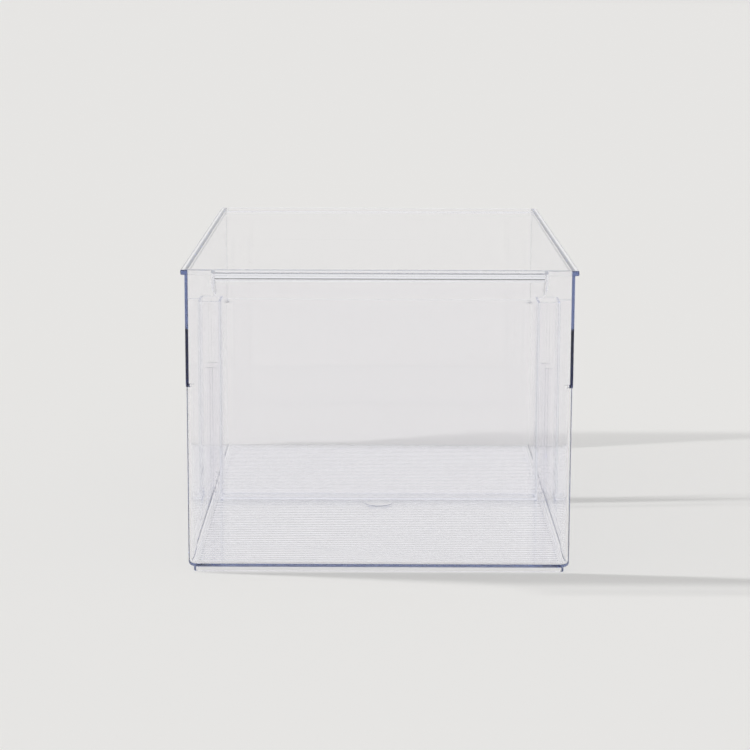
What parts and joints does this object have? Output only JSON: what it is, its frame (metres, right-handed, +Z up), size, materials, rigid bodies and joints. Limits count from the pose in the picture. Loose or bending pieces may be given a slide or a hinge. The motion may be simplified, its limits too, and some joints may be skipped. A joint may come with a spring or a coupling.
{
  "type": "fridge bin",
  "caption": "Clear open-topped storage bin with a folded pull lip on the front rim, a nesting ledge, a foot ring and a lift-out divider on side rails.",
  "frame": {"origin": "middle of the overall footprint, on the surface the foot ring stands on", "axes": "+Z up, the pull lip faces -Y, X across the bin"},
  "size_m": [0.204, 0.32, 0.16],
  "materials": {
    "clear_bin": "clear, polished, faint blue in the thick edges",
    "clear_divider": "clear, polished, faint blue in the thick edges"
  },
  "bodies": {
    "bin": {"bin": "clear_bin"},
    "divider": {"divider": "clear_divider"}
  },
  "joints": [
    {"name": "divider_lift", "type": "slide", "parent": "bin", "child": "divider", "axis": [0, 0, 1], "range_m": [0, 0.17]}
  ]
}
